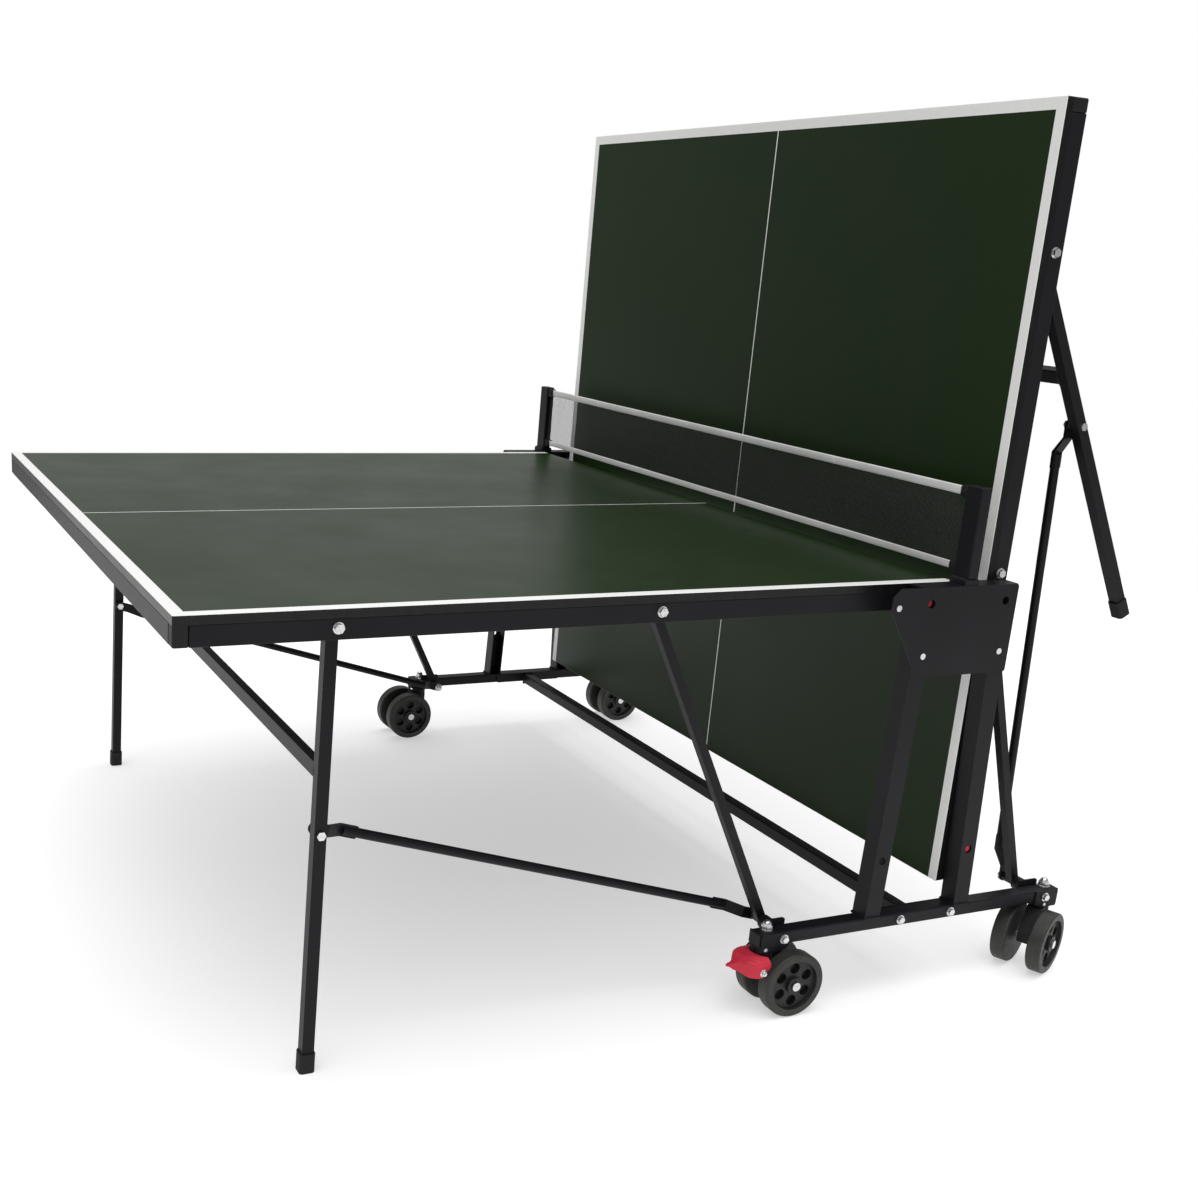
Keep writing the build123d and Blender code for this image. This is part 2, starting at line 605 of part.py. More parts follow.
for name, (x, y, turn) in CASTERS.items():
    put = Pos(x, y, 0) * Rot(Z=turn)
    wheels = [caster_wheel(-WHEEL_GAP / 2 - WHEEL_W), caster_wheel(WHEEL_GAP / 2)]
    add(f"{name}_fork", put * caster_fork(name in PEDAL_CASTERS))
    add(f"{name}_axle", put * caster_axle())
    add(f"{name}_wheels", *[put * wheel for wheel in wheels])
    if name in PEDAL_CASTERS:
        add(f"{name}_pedal", put * brake_pedal())


# ---------------------------------------------------------------- centre the footprint and write
extent = Compound(children=[s.moved(Location()) for group in nodes.values() for s in group]).bounding_box()
centre = Pos(-(extent.min.X + extent.max.X) / 2, -(extent.min.Y + extent.max.Y) / 2, 0)
for name, group in nodes.items():
    moved = [centre * solid for solid in group]
    export_step(moved[0] if len(moved) == 1 else Compound(children=moved), f"parts/{name}.step")
print("nodes", len(nodes), "net line at", tuple(round(v, 4) for v in centre.position))
print("height", round(extent.min.Z, 3), round(extent.max.Z, 3), "size", extent.size)
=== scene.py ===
import json
import math

import bmesh
import bpy
from mathutils import Matrix, Vector, noise

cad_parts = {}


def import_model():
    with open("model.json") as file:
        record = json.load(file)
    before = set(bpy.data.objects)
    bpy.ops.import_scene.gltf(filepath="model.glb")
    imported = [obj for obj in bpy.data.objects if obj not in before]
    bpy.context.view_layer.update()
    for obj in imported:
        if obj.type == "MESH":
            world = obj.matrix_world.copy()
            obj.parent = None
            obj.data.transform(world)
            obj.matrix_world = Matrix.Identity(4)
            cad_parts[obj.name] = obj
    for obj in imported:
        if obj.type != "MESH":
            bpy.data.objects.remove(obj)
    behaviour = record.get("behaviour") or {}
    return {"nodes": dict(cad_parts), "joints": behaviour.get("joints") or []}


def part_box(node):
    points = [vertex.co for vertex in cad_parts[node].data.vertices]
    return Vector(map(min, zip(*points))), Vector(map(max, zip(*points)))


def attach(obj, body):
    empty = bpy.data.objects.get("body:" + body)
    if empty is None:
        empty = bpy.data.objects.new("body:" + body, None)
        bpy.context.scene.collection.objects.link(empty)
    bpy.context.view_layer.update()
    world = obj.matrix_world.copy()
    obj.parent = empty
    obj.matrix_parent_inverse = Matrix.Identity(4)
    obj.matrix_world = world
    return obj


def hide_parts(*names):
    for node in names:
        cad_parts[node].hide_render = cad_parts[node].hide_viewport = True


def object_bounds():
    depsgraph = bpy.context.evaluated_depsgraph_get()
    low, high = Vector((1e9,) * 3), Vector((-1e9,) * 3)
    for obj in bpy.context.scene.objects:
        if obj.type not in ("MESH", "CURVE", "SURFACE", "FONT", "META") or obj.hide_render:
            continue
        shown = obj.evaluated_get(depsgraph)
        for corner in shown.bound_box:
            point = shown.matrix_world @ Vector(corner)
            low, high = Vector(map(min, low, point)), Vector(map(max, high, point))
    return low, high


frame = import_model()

cad_low, cad_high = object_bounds()
nodes = frame["nodes"]
scene = bpy.context.scene

# ------------------------------------------------------------------ places read from the frame
mesh_low, mesh_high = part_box("net_mesh")
NET = Vector(((mesh_low[0] + mesh_high[0]) / 2, (mesh_low[1] + mesh_high[1]) / 2, 0.0))
LINE = 0.020
CENTRE_LINE = 0.003
PAINT_DEPTH = 0.0009
SIDES = ("left", "right")
CASTERS = ("near_left", "near_right", "far_left", "far_right")


def joint(name):
    return next(j for j in frame["joints"] if j["name"] == name)


# ------------------------------------------------------------------ material helpers
class Mat:
    """A material under construction: a thin layer over its node tree."""

    def __init__(self, name, base=(0.8, 0.8, 0.8), rough=0.5, metal=0.0, spec=0.5):
        self.mat = bpy.data.materials.new(name)
        self.mat.use_nodes = True
        self.tree = self.mat.node_tree
        self.bsdf = self.tree.nodes["Principled BSDF"]
        self.set("Base Color", (*base, 1.0))
        self.set("Roughness", rough)
        self.set("Metallic", metal)
        self.set("Specular IOR Level", spec)
        self.coords = self.tree.nodes.new("ShaderNodeTexCoord").outputs["Object"]

    def set(self, socket, value):
        self.bsdf.inputs[socket].default_value = value

    def link(self, output, socket):
        self.tree.links.new(output, self.bsdf.inputs[socket])

    def feed(self, socket, value):
        if isinstance(value, bpy.types.NodeSocket):
            self.tree.links.new(value, socket)
        else:
            socket.default_value = value

    def math(self, op, a, b=0.0, c=0.0, clamp=False):
        n = self.tree.nodes.new("ShaderNodeMath")
        n.operation, n.use_clamp = op, clamp
        for socket, value in zip(n.inputs, (a, b, c)):
            self.feed(socket, value)
        return n.outputs[0]

    def vector(self, op, a, b=(0, 0, 0), out="Vector"):
        n = self.tree.nodes.new("ShaderNodeVectorMath")
        n.operation = op
        self.feed(n.inputs[0], a)
        self.feed(n.inputs[1], b)
        return n.outputs[out]

    def xyz(self, vector=None):
        n = self.tree.nodes.new("ShaderNodeSeparateXYZ")
        self.feed(n.inputs[0], vector or self.coords)
        return n.outputs

    def noise(self, scale, detail=3.0, rough=0.5):
        n = self.tree.nodes.new("ShaderNodeTexNoise")
        self.feed(n.inputs["Vector"], self.coords)
        n.inputs["Scale"].default_value = scale
        n.inputs["Detail"].default_value = detail
        n.inputs["Roughness"].default_value = rough
        return n.outputs["Fac"]

    def cells(self, scale, feature="F1"):
        n = self.tree.nodes.new("ShaderNodeTexVoronoi")
        n.feature = feature
        self.feed(n.inputs["Vector"], self.coords)
        n.inputs["Scale"].default_value = scale
        return n.outputs["Distance"]

    def ramp(self, value, low, high, to_low=0.0, to_high=1.0):
        n = self.tree.nodes.new("ShaderNodeMapRange")
        for socket, v in zip(n.inputs, (value, low, high, to_low, to_high)):
            self.feed(socket, v)
        return n.outputs[0]

    def mix(self, factor, a, b):
        n = self.tree.nodes.new("ShaderNodeMix")
        n.data_type = "RGBA"
        self.feed(n.inputs["Factor"], factor)
        self.feed(n.inputs[6], (*a, 1.0) if isinstance(a, tuple) else a)
        self.feed(n.inputs[7], (*b, 1.0) if isinstance(b, tuple) else b)
        return n.outputs[2]

    def bump(self, height, strength, distance):
        n = self.tree.nodes.new("ShaderNodeBump")
        n.inputs["Strength"].default_value = strength
        n.inputs["Distance"].default_value = distance
        self.feed(n.inputs["Height"], height)
        self.link(n.outputs["Normal"], "Normal")


def powder_coat(name, tone):
    """Semi-gloss black powder coat with a fine orange peel."""
    m = Mat(name, rough=0.42, spec=0.18)
    speck = m.noise(900, 2)
    drift = m.noise(9, 2)
    m.link(m.mix(m.ramp(drift, 0.3, 0.7), tone, tuple(c * 1.35 for c in tone)), "Base Color")
    m.link(m.ramp(speck, 0.3, 0.7, 0.36, 0.50), "Roughness")
    m.bump(m.noise(1500, 2), 0.22, 0.0004)
    return m.mat


def moulded(name, tone, rough=0.55, grain=2200):
    """Moulded plastic with a fine spark-eroded texture."""
    m = Mat(name, rough=rough, spec=0.26)
    drift = m.noise(14, 2)
    m.link(m.mix(m.ramp(drift, 0.3, 0.7), tone, tuple(c * 1.3 for c in tone)), "Base Color")
    m.link(m.ramp(m.noise(grain / 3, 2), 0.3, 0.7, rough - 0.07, rough + 0.07), "Roughness")
    m.bump(m.cells(grain), 0.25, 0.0002)
    return m.mat


BOARD_GLOSS = {"left": 0.24, "right": 0.14}


def board_paint(side):
    """Green playing face with white lines, black edge band and dark back."""
    low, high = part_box(f"{side}_board")
    m = Mat(f"{side}_board_paint", spec=BOARD_GLOSS[side])
    x, y, z = m.xyz()
    across = m.math("ABSOLUTE", m.math("SUBTRACT", y, NET.y))
    if side == "left":
        outward = m.math("SUBTRACT", x, low[0])
        depth = m.math("SUBTRACT", high[2], z)
    else:
        outward = m.math("SUBTRACT", high[2], z)
        depth = m.math("SUBTRACT", x, low[0])
    half = (high[1] - low[1]) / 2
    edge = m.math("GREATER_THAN", across, half - LINE)
    end = m.math("LESS_THAN", outward, LINE)
    centre = m.math("LESS_THAN", across, CENTRE_LINE / 2)
    line = m.math("MAXIMUM", m.math("MAXIMUM", edge, end), centre)
    face = m.math("LESS_THAN", depth, PAINT_DEPTH)
    drift = m.noise(2.2, 3)
    fine = m.noise(420, 2)
    green = m.mix(m.ramp(drift, 0.3, 0.7), (0.0085, 0.0215, 0.0050), (0.0105, 0.0250, 0.0062))
    green = m.mix(m.ramp(fine, 0.35, 0.65, 0.0, 0.20), green, (0.0180, 0.0370, 0.0125))
    white = m.mix(m.ramp(fine, 0.3, 0.7), (0.85, 0.85, 0.84), (0.90, 0.90, 0.88))
    top = m.mix(line, green, white)
    under = m.mix(m.ramp(m.noise(60, 3), 0.3, 0.7), (0.006, 0.006, 0.006), (0.010, 0.010, 0.010))
    m.link(m.mix(face, under, top), "Base Color")
    m.link(m.ramp(m.noise(6, 3), 0.3, 0.7, 0.31, 0.38), "Roughness")
    m.bump(m.noise(700, 2), 0.10, 0.0003)
    return m.mat


def zinc(name, tone=(0.72, 0.72, 0.73)):
    """Bright zinc plate with faint turning marks and small stains."""
    m = Mat(name, base=tone, rough=0.24, metal=1.0)
    stain = m.noise(220, 3)
    m.link(m.mix(m.ramp(stain, 0.45, 0.7), tone, tuple(c * 0.72 for c in tone)), "Base Color")
    m.link(m.ramp(m.noise(900, 2), 0.3, 0.7, 0.18, 0.34), "Roughness")
    m.bump(m.noise(2600, 1), 0.12, 0.0002)
    return m.mat


def tape_cloth(name, low_z, high_z):
    """White woven tape: fine twill across it and two rows of stitches along it."""
    m = Mat(name, rough=0.85, spec=0.2)
    x, y, z = m.xyz()
    weave = m.math("SINE", m.math("MULTIPLY", m.math("ADD", y, z), 5200.0))
    cross = m.math("SINE", m.math("MULTIPLY", m.math("SUBTRACT", y, z), 5200.0))
    twill = m.math("MULTIPLY", weave, cross)
    stitch = None
    for level in (low_z + 0.0022, high_z - 0.0030):
        row = m.math("LESS_THAN", m.math("ABSOLUTE", m.math("SUBTRACT", z, level)), 0.00035)
        dash = m.math("GREATER_THAN", m.math("SINE", m.math("MULTIPLY", y, 1700.0)), -0.35)
        mark = m.math("MULTIPLY", row, dash)
        stitch = mark if stitch is None else m.math("MAXIMUM", stitch, mark)
    soil = m.noise(12, 4)
    white = m.mix(m.ramp(soil, 0.35, 0.75), (0.74, 0.74, 0.73), (0.62, 0.62, 0.61))
    m.link(m.mix(stitch, white, (0.42, 0.42, 0.42)), "Base Color")
    m.bump(m.math("SUBTRACT", twill, m.math("MULTIPLY", stitch, 4.0)), 0.35, 0.0002)
    m.set("Sheen Weight", 0.15)
    return m.mat


def netting(name):
    """Dark knitted cord."""
    m = Mat(name, rough=0.75, spec=0.25)
    m.link(m.mix(m.ramp(m.noise(300, 2), 0.3, 0.7), (0.030, 0.032, 0.030), (0.060, 0.061, 0.058)),
           "Base Color")
    m.bump(m.noise(5200, 1), 0.3, 0.0002)
    return m.mat


def wheel_plastic(name, centre, axis):
    """Dark grey tread round a blacker hub, told apart by the distance from the axle."""
    m = Mat(name, rough=0.5, spec=0.4)
    arm = m.vector("SUBTRACT", m.coords, tuple(centre))
    reach = m.vector("LENGTH", m.vector("CROSS_PRODUCT", arm, tuple(axis)), out="Value")
    rim = m.ramp(reach, 0.0445, 0.0465)
    drift = m.noise(55, 3)
    tread = m.mix(m.ramp(drift, 0.3, 0.7), (0.019, 0.019, 0.017), (0.030, 0.029, 0.026))
    hub = m.mix(m.ramp(drift, 0.3, 0.7), (0.0085, 0.0085, 0.0090), (0.0140, 0.0140, 0.0148))
    m.link(m.mix(rim, hub, tread), "Base Color")
    m.link(m.ramp(m.noise(240, 3), 0.3, 0.7, 0.42, 0.62), "Roughness")
    m.bump(m.noise(1400, 2), 0.2, 0.0003)
    return m.mat


def rubber(name):
    """Dull black rubber with a coarse skin."""
    m = Mat(name, rough=0.8, spec=0.25)
    m.link(m.mix(m.ramp(m.noise(80, 3), 0.3, 0.7), (0.012, 0.012, 0.012), (0.022, 0.021, 0.020)),
           "Base Color")
    m.bump(m.noise(1200, 3), 0.3, 0.0004)
    return m.mat


BLACK = powder_coat("frame_powder_coat", (0.0062, 0.0062, 0.0078))
PLASTIC = moulded("black_moulding", (0.0075, 0.0075, 0.0085))
RED = moulded("red_moulding", (0.48, 0.023, 0.046), 0.46, 1500)
ZINC = zinc("zinc_plate")
RUBBER = rubber("shoe_rubber")
NETTING = netting("net_cord")


def paint(node, material):
    obj = nodes[node]
    obj.data.materials.clear()
    obj.data.materials.append(material)


for name in nodes:
    if name.endswith("_board"):
        paint(name, board_paint(name.split("_")[0]))
    elif "pedal" in name or "lock_pins" in name:
        paint(name, RED)
    elif name.endswith("_feet"):
        paint(name, RUBBER)
    elif name.endswith("_wheels"):
        spin = joint(name.replace("_wheels", "_roll"))
        paint(name, wheel_plastic(f"{name}_plastic", spin["pos_m"], spin["axis"]))
    elif "caps" in name or name.endswith(("_fork", "_guide_rollers")):
        paint(name, PLASTIC)
    elif name.endswith("_axle") or "bolts" in name or name in ("frame_fasteners", "kingpins"):
        paint(name, ZINC)
    elif "tape" in name:
        low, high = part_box(name)
        paint(name, tape_cloth(f"{name}_cloth", low[2], high[2]))
    elif name == "net_mesh":
        paint(name, NETTING)
    else:
        paint(name, BLACK)


# ------------------------------------------------------------------ mesh helpers
def new_object(name, bm, material, smooth=True):
    mesh = bpy.data.meshes.new(name)
    bm.to_mesh(mesh)
    bm.free()
    obj = bpy.data.objects.new(name, mesh)
    scene.collection.objects.link(obj)
    mesh.materials.append(material)
    for face in mesh.polygons:
        face.use_smooth = smooth
    return obj


def strip(bm, points, half_a, half_b):
    """A thin bar through points: half_a and half_b are its two half widths, as vectors."""
    rings = []
    for p in points:
        rings.append([bm.verts.new(p + a + b) for a, b in
                      ((half_a, half_b), (-half_a, half_b), (-half_a, -half_b), (half_a, -half_b))])
    for r0, r1 in zip(rings, rings[1:]):
        for k in range(4):
            bm.faces.new((r0[k], r0[(k + 1) % 4], r1[(k + 1) % 4], r1[k]))
    bm.faces.new(rings[0][::-1])
    bm.faces.new(rings[-1])


def ring(bm, centre, a, b, radius, count, phase=0.0):
    """A ring of vertices in the plane of the unit vectors a and b."""
    turn = [2 * math.pi * k / count + phase for k in range(count)]
    return [bm.verts.new(centre + a * (radius * math.cos(t)) + b * (radius * math.sin(t))) for t in turn]


def bridge(bm, r0, r1):
    for k in range(len(r0)):
        bm.faces.new((r0[k], r0[(k + 1) % len(r0)], r1[(k + 1) % len(r0)], r1[k]))


def lathe(bm, base, axis, profile, count=24):
    """A turned solid: profile holds (distance along axis, radius) from its foot to its top."""
    a = axis.orthogonal().normalized()
    b = axis.cross(a)
    rings = [ring(bm, base + axis * h, a, b, r, count) for h, r in profile]
    for r0, r1 in zip(rings, rings[1:]):
        bridge(bm, r0, r1)
    bm.faces.new(rings[0][::-1])
    bm.faces.new(rings[-1])


def hex_bolt(bm, base, axis, across, height):
    """A hexagonal head with a chamfered, slightly hollowed top on a round flange."""
    a = axis.orthogonal().normalized()
    b = axis.cross(a)
    corner = across / math.sqrt(3)
    flange = [(0, across * 0.78), (height * 0.14, across * 0.78), (height * 0.24, across * 0.70)]
    lathe(bm, base, axis, flange)
    steps = [(0.1, corner), (0.82, corner), (1.0, corner * 0.84), (1.0, corner * 0.62), (0.93, corner * 0.5)]
    rings = [ring(bm, base + axis * (height * h), a, b, r, 6) for h, r in steps]
    for r0, r1 in zip(rings, rings[1:]):
        bridge(bm, r0, r1)
    bm.faces.new(rings[0][::-1])
    bm.faces.new(rings[-1])


def socket_screw(bm, base, axis, radius):
    """A low domed screw head with a round socket."""
    a = axis.orthogonal().normalized()
    b = axis.cross(a)
    dome = [(0, 1.0), (0.16, 1.0), (0.34, 0.86), (0.46, 0.62)]
    rings = [ring(bm, base + axis * (radius * h), a, b, radius * r, 18) for h, r in dome]
    rings.append(ring(bm, base + axis * (radius * 0.47), a, b, radius * 0.44, 18))
    rings.append(ring(bm, base + axis * (radius * 0.12), a, b, radius * 0.38, 18))
    for r0, r1 in zip(rings, rings[1:]):
        bridge(bm, r0, r1)
    bm.faces.new(rings[0][::-1])
    bm.faces.new(rings[-1])


def bead(bm, path, radius, seed):
    """A weld bead along a closed path: overlapping ripples of uneven size."""
    centre = sum(path, Vector()) / len(path)
    points = []
    for p, q in zip(path, path[1:] + path[:1]):
        count = max(1, round((q - p).length / (radius * 0.7)))
        points += [p.lerp(q, k / count) for k in range(count)]
    normal = sum(((p - centre).cross(q - centre) for p, q in zip(path, path[1:] + path[:1])), Vector())
    normal.normalize()
    rings = []
    for k, p in enumerate(points):
        out = (p - centre).normalized()
        size = radius * (1.0 + 0.22 * math.cos(math.pi * k) + 0.2 * noise.noise(Vector((k * 0.7, seed, 0))))
        rings.append(ring(bm, p, out, normal, size, 8))
    for r0, r1 in zip(rings, rings[1:] + rings[:1]):
        bridge(bm, r0, r1)


def finish_piece(bm, name, material, body, smooth=True):
    bmesh.ops.recalc_face_normals(bm, faces=bm.faces)
    obj = new_object(name, bm, material, smooth)
    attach(obj, body)
    return obj


def net_drift(y, z):
    """How far the slack netting stands out of its plane."""
    low, high = mesh_low[2], mesh_high[2]
    inner = math.sin(math.pi * (z - low) / (high - low))
    wave = noise.noise(Vector((y * 3.1, z * 4.0, 1.7))) * 0.0035
    ripple = noise.noise(Vector((y * 17.0, z * 9.0, 5.1))) * 0.0008
    return inner * (wave + ripple)


# ------------------------------------------------------------------ netting and tapes
NET_PITCH = 0.0030
UPRIGHT_CORD = (0.00008, 0.00055)
LEVEL_CORD = (0.00030, 0.00018)
NET_LEVELS = 8
NET_STEPS = 180


def netting_sheet():
    """Upright and level cords that cross, each following the slack of the net."""
    bm = bmesh.new()
    y0, y1, z0, z1 = mesh_low[1], mesh_high[1], mesh_low[2], mesh_high[2]
    columns = int((y1 - y0) / NET_PITCH)
    rows = int((z1 - z0) / NET_PITCH)
    for i in range(columns + 1):
        y = y0 + UPRIGHT_CORD[1] + (y1 - y0 - 2 * UPRIGHT_CORD[1]) * i / columns
        points = []
        for k in range(NET_LEVELS + 1):
            z = z0 + (z1 - z0) * k / NET_LEVELS
            points.append(Vector((NET.x + net_drift(y, z), y, z)))
        strip(bm, points, Vector((UPRIGHT_CORD[0], 0, 0)), Vector((0, UPRIGHT_CORD[1], 0)))
    for j in range(rows + 1):
        z = z0 + LEVEL_CORD[1] + (z1 - z0 - 2 * LEVEL_CORD[1]) * j / rows
        points = []
        for k in range(NET_STEPS + 1):
            y = y0 + (y1 - y0) * k / NET_STEPS
            points.append(Vector((NET.x + net_drift(y, z), y, z)))
        strip(bm, points, Vector((LEVEL_CORD[0], 0, 0)), Vector((0, 0, LEVEL_CORD[1])))
    obj = new_object("netting", bm, NETTING, smooth=False)
    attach(obj, "base")
    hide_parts("net_mesh")


TAPE_SIDES = 16
TAPE_STEPS = 320


def tape(name, node, thick):
    """A folded woven tape: a soft flattened tube that ripples a little along its length."""
    low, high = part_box(node)
    bm = bmesh.new()
    section = []
    height = high[2] - low[2]
    for k in range(TAPE_SIDES):
        a = 2 * math.pi * k / TAPE_SIDES
        bulge = 1.0 if math.sin(a) > 0 else 0.72
        section.append((math.copysign(abs(math.cos(a)) ** 0.6, math.cos(a)) * thick / 2 * bulge,
                        math.copysign(abs(math.sin(a)) ** 0.55, math.sin(a)) * height / 2))
    rings = []
    for i in range(TAPE_STEPS + 1):
        y = low[1] + (high[1] - low[1]) * i / TAPE_STEPS
        held = math.sin(math.pi * i / TAPE_STEPS) ** 0.3
        shift = noise.noise(Vector((y * 2.3, height * 50, 3.0))) * 0.0022 * held
        pucker = 1.0 + 0.10 * noise.noise(Vector((y * 42.0, 7.0, height)))
        drop = noise.noise(Vector((y * 5.0, 11.0, height * 20))) * 0.0005 * held
        rings.append([bm.verts.new((NET.x + shift + u * pucker, y, (low[2] + high[2]) / 2 + v + drop))
                      for u, v in section])
    for r0, r1 in zip(rings, rings[1:]):
        for k in range(TAPE_SIDES):
            after = (k + 1) % TAPE_SIDES
            bm.faces.new((r0[k], r1[k], r1[after], r0[after]))
    bm.faces.new(rings[0])
    bm.faces.new(rings[-1][::-1])
    obj = new_object(name, bm, nodes[node].data.materials[0])
    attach(obj, "base")
    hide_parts(node)


netting_sheet()
tape("top_tape_cloth", "net_top_tape", 0.0048)
tape("bottom_tape_cloth", "net_bottom_tape", 0.0036)


CLAMP_REACH = 0.016
CLAMP_SIDES = 20


def tape_clamps(post):
    """Plastic clips on a post that grip the ends of the two tapes."""
    low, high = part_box(f"{post}_net_post")
    face, away = (high[1], 1.0) if post == "near" else (low[1], -1.0)
    bm = bmesh.new()
    for node in ("net_top_tape", "net_bottom_tape"):
        tape_low, tape_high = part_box(node)
        middle = (tape_low[2] + tape_high[2]) / 2
        for end in (-1, 1):
            half = (tape_high[2] - tape_low[2]) / 2 + 0.0025
            section = []
            for k in range(CLAMP_SIDES):
                t = 2 * math.pi * k / CLAMP_SIDES
                section.append((math.copysign(abs(math.cos(t)) ** 0.45, math.cos(t)),
                                math.copysign(abs(math.sin(t)) ** 0.45, math.sin(t))))
            rings = []
            for share, size in ((-0.05, 1.0), (0.35, 1.0), (0.85, 0.94), (1.0, 0.80)):
                y = face + away * CLAMP_REACH * share
                rings.append([bm.verts.new((NET.x + end * 0.0042 + u * 0.0030 * size, y,
                                            middle + v * half * size)) for u, v in section])
            for r0, r1 in zip(rings, rings[1:]):
                bridge(bm, r0, r1)
            bm.faces.new(rings[0][::-1])
            bm.faces.new(rings[-1])
        for k in (-1, 1):
            socket_screw(bm, Vector((NET.x + k * 0.0070, face + away * CLAMP_REACH * 0.4, middle)),
                         Vector((k, 0, 0)), 0.0032)
    finish_piece(bm, f"{post}_tape_clamps", PLASTIC, "base")


for post in ("near", "far"):
    tape_clamps(post)


# ------------------------------------------------------------------ weld beads and fixings
WELD_RADIUS = 0.0026


def end_outline(node, index, level, keep=lambda v: True):
    """The corners of a CAD tube where it ends at a level of one axis, in order round the end."""
    points = [v.co.copy() for v in nodes[node].data.vertices
              if abs(v.co[index] - level) < 0.0004 and keep(v.co)]
    centre = sum(points, Vector()) / len(points)
    others = [i for i in range(3) if i != index]
    widest = max((p - centre).length for p in points)
    points = [p for p in points if (p - centre).length > widest * 0.86]
    points.sort(key=lambda p: math.atan2(p[others[1]] - centre[others[1]], p[others[0]] - centre[others[0]]))
    return points


def welds(name, body, outlines):
    """Beads round the ends of tubes, each with ripples of its own."""
    bm = bmesh.new()
    for k, outline in enumerate(outlines):
        bead(bm, outline, WELD_RADIUS, k * 3.1)
    finish_piece(bm, name, BLACK, body)


for place in ("near", "far"):
    low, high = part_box(f"{place}_uprights")
    feet = [end_outline(f"{place}_uprights", 2, low[2], lambda v, k=k: (v.x - NET.x) * k > 0)
            for k in (-1, 1)]
    welds(f"{place}_upright_welds", "base", feet)
low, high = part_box("cross_beam")
welds("beam_welds", "base", [end_outline("cross_beam", 1, level) for level in (low[1], high[1])])
for side in SIDES:
    low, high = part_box(f"{side}_leg_bar")
    welds(f"{side}_leg_bar_welds", f"{side}_leg_frame",
          [end_outline(f"{side}_leg_bar", 1, level) for level in (low[1], high[1])])


class Half:
    """Where things lie on one half: s out from the net, y across, d below the playing face."""

    def __init__(self, side):
        low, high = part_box(f"{side}_board")
        if side == "left":
            self.origin, self.out = Vector((high[0], NET.y, high[2])), Vector((-1, 0, 0))
            self.normal = Vector((0, 0, 1))
        else:
            self.origin, self.out = Vector((low[0], NET.y, low[2])), Vector((0, 0, 1))
            self.normal = Vector((-1, 0, 0))

    def at(self, s, y, d):
        return self.origin + self.out * s + Vector((0, y, 0)) - self.normal * d

    def place(self, point):
        offset = Vector(point) - self.origin
        return offset.dot(self.out), offset.y, -offset.dot(self.normal)


RAIL_HALF = 0.010
CROSS_HALF = 0.012
SCREWS_ACROSS = 6
SCREW_RADIUS = 0.0055
END_GAP = 0.09


def board_screws(side):
    """Screws up through the end and cross rails into the board."""
    half = Half(side)
    bm = bmesh.new()
    for node, inset in ((f"{side}_end_rails", RAIL_HALF), (f"{side}_cross_rails", CROSS_HALF)):
        ends = [half.place(corner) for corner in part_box(node)]
        rows = min(e[0] for e in ends) + inset, max(e[0] for e in ends) - inset
        under = max(e[2] for e in ends)
        reach = max(abs(e[1]) for e in ends) - END_GAP
        for s in rows:
            for k in range(SCREWS_ACROSS):
                y = -reach + 2 * reach * k / (SCREWS_ACROSS - 1)
                socket_screw(bm, half.at(s, y, under), -half.normal, SCREW_RADIUS)
    finish_piece(bm, f"{side}_board_screws", ZINC, f"{side}_top")


for side in SIDES:
    board_screws(side)


ROD_EYE_INNER = 0.7075
LUG_HALF = 0.024
LUG_PIVOT = 0.0175
STUB_DEPTH = 0.054
SHANK = 0.0039


def base_pivot_bolts():
    """The bolts at the foot of each strut and tie rod, with washers and nuts on the inside."""
    lug_low, lug_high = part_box("pivot_brackets")
    z = lug_low[2] + LUG_PIVOT
    bm = bmesh.new()
    for x in (lug_low[0] + LUG_HALF, lug_high[0] - LUG_HALF):
        for sign in (-1, 1):
            inner = Vector((x, NET.y + sign * ROD_EYE_INNER, z))
            axis = Vector((0, -sign, 0))
            lathe(bm, inner - axis * STUB_DEPTH, axis, [(0, SHANK), (0.062, SHANK), (0.063, 0.0032)], 16)
            lathe(bm, inner + axis * 0.0003, axis, [(0, 0.0085), (0.0014, 0.0085)], 24)
            hex_bolt(bm, inner + axis * 0.0017, axis, 0.013, 0.0058)
    finish_piece(bm, "base_pivot_bolts", ZINC, "base")


base_pivot_bolts()


# ------------------------------------------------------------------ brake pedals
def smooth_curve(x, knots):
    """A height that eases from knot to knot."""
    if x <= knots[0][0]:
        return knots[0][1]
    for (x0, z0), (x1, z1) in zip(knots, knots[1:]):
        if x <= x1:
            t = (x - x0) / (x1 - x0)
            return z0 + (z1 - z0) * t * t * (3 - 2 * t)
    return knots[-1][1]


def hood_crown(x):
    """Height of the hood's ridge line at a distance x in front of (below zero) the kingpin."""
    return smooth_curve(x, [(-0.076, 0.0980), (-0.065, 0.0978), (-0.057, 0.1015), (-0.045, 0.1105),
                            (-0.024, 0.1140), (-0.006, 0.1145)])


def hood_rim(x):
    """Height of the hood's lower edge at a distance x from the kingpin."""
    return smooth_curve(x, [(-0.076, 0.0950), (-0.060, 0.0865), (-0.044, 0.0790), (-0.024, 0.0785),
                            (-0.006, 0.0960)])


TOE_OUTLINE = [(-0.028, 0.0350), (-0.037, 0.0325), (-0.046, 0.0262), (-0.053, 0.0180), (-0.0590, 0.0100),
               (-0.0660, 0.0062), (-0.0730, 0.0042), (-0.0765, 0.0)]
HOOD_HALF = 0.035
KINGPIN_CLEAR = 0.0262
RIDGES = 5
RIDGE_HEIGHT = 0.0008
RIDGE_ZONE = (0.30, 0.94)
PEDAL_BEHIND = 0.022
WHEEL_CENTRE = (0.040, 0.060)
WHEEL_CLEAR = 0.0622
HOOD_WALL = 0.0030
HOOD_COLUMNS, HOOD_ROWS = 48, 36


